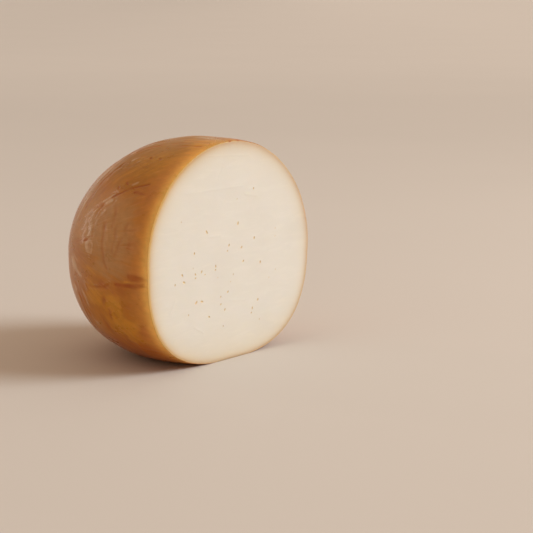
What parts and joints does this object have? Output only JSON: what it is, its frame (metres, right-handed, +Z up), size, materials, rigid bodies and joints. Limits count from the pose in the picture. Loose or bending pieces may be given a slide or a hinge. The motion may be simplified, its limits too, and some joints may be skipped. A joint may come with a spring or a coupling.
{
  "type": "provolone cheese",
  "caption": "Smoked provolone ball cut across to a flat ivory face with small eyes, in a smooth caramel rind with low creases, lying on its side.",
  "frame": {"origin": "middle of the bounding box's underside, on the surface that the cheese lies on", "axes": "+Z up, -Y out of the cut face, +Y towards the rounded end, +X to the right as one looks along +Y at the cut face"},
  "size_m": [0.137, 0.1, 0.1249],
  "materials": {
    "cheese": "smooth satin smoked rind, mottled caramel and gold, round a smooth ivory cut face"
  },
  "bodies": {
    "root": {"provolone": "cheese"}
  },
  "joints": []
}
